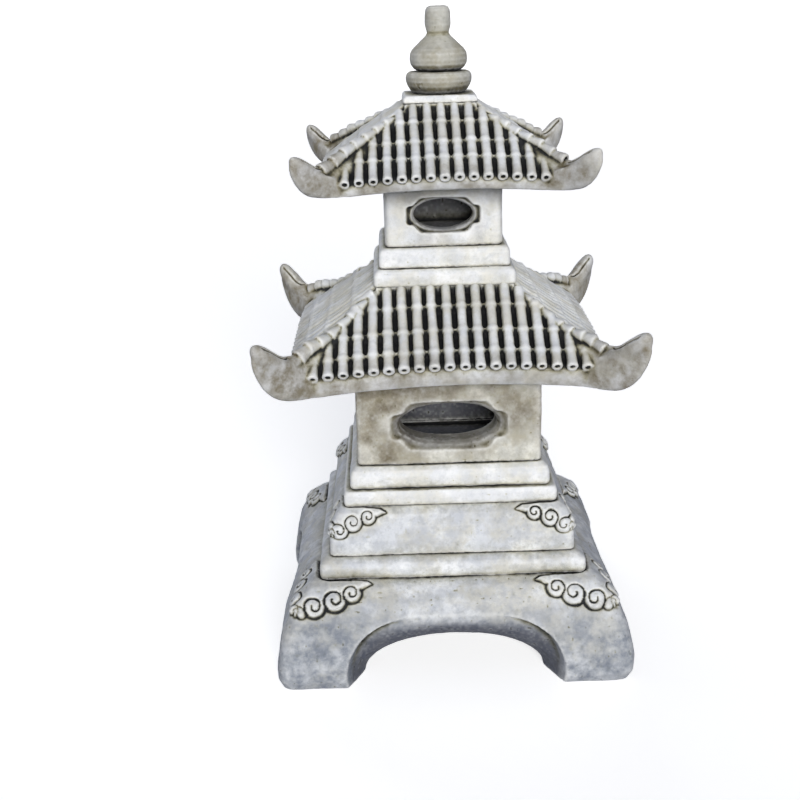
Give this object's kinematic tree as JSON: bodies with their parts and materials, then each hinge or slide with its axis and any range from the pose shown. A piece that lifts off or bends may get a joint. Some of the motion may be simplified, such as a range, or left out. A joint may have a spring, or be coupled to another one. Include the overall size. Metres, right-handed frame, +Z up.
{
  "type": "stone garden lantern",
  "caption": "Two-tier cast stone pagoda lantern with tiled roofs, arched feet and windowed lamp rooms, to stand in a garden and hold lights.",
  "frame": {"origin": "on the ground, under the middle of the four feet", "axes": "+Z up the stack, -Y the front, +X to the right seen from the front"},
  "size_m": [0.388, 0.388, 0.67],
  "materials": {
    "base_stone": "weathered cast stone with a dark wash in the recesses",
    "pale_stone": "pale weathered cast stone",
    "lamp_stone": "stained buff cast stone",
    "roof_stone": "weathered cast stone, dark between the tiles",
    "finial_stone": "weathered buff cast stone"
  },
  "bodies": {
    "base": {"leg_base": "base_stone", "base_slab": "base_stone", "plinth_stone": "base_stone", "lower_step": "pale_stone", "upper_step": "pale_stone"},
    "lower_lamp": {"lower_lamp_box": "lamp_stone"},
    "lower_roof_tier": {"lower_roof": "roof_stone", "lower_roof_cap": "pale_stone"},
    "upper_lamp": {"upper_seat": "pale_stone", "upper_lamp_box": "pale_stone"},
    "upper_roof_tier": {"upper_roof": "roof_stone", "upper_roof_cap": "pale_stone"},
    "finial": {"finial_dish": "finial_stone", "finial_jewel": "finial_stone"}
  },
  "joints": [
    {"name": "lower_lamp_lift", "type": "slide", "parent": "base", "child": "lower_lamp", "axis": [0, 0, 1], "range_m": [0, 0.05]},
    {"name": "lower_roof_lift", "type": "slide", "parent": "lower_lamp", "child": "lower_roof_tier", "axis": [0, 0, 1], "range_m": [0, 0.06]},
    {"name": "upper_lamp_lift", "type": "slide", "parent": "lower_roof_tier", "child": "upper_lamp", "axis": [0, 0, 1], "range_m": [0, 0.05]},
    {"name": "upper_roof_lift", "type": "slide", "parent": "upper_lamp", "child": "upper_roof_tier", "axis": [0, 0, 1], "range_m": [0, 0.06]},
    {"name": "finial_lift", "type": "slide", "parent": "upper_roof_tier", "child": "finial", "axis": [0, 0, 1], "range_m": [0, 0.06]}
  ]
}
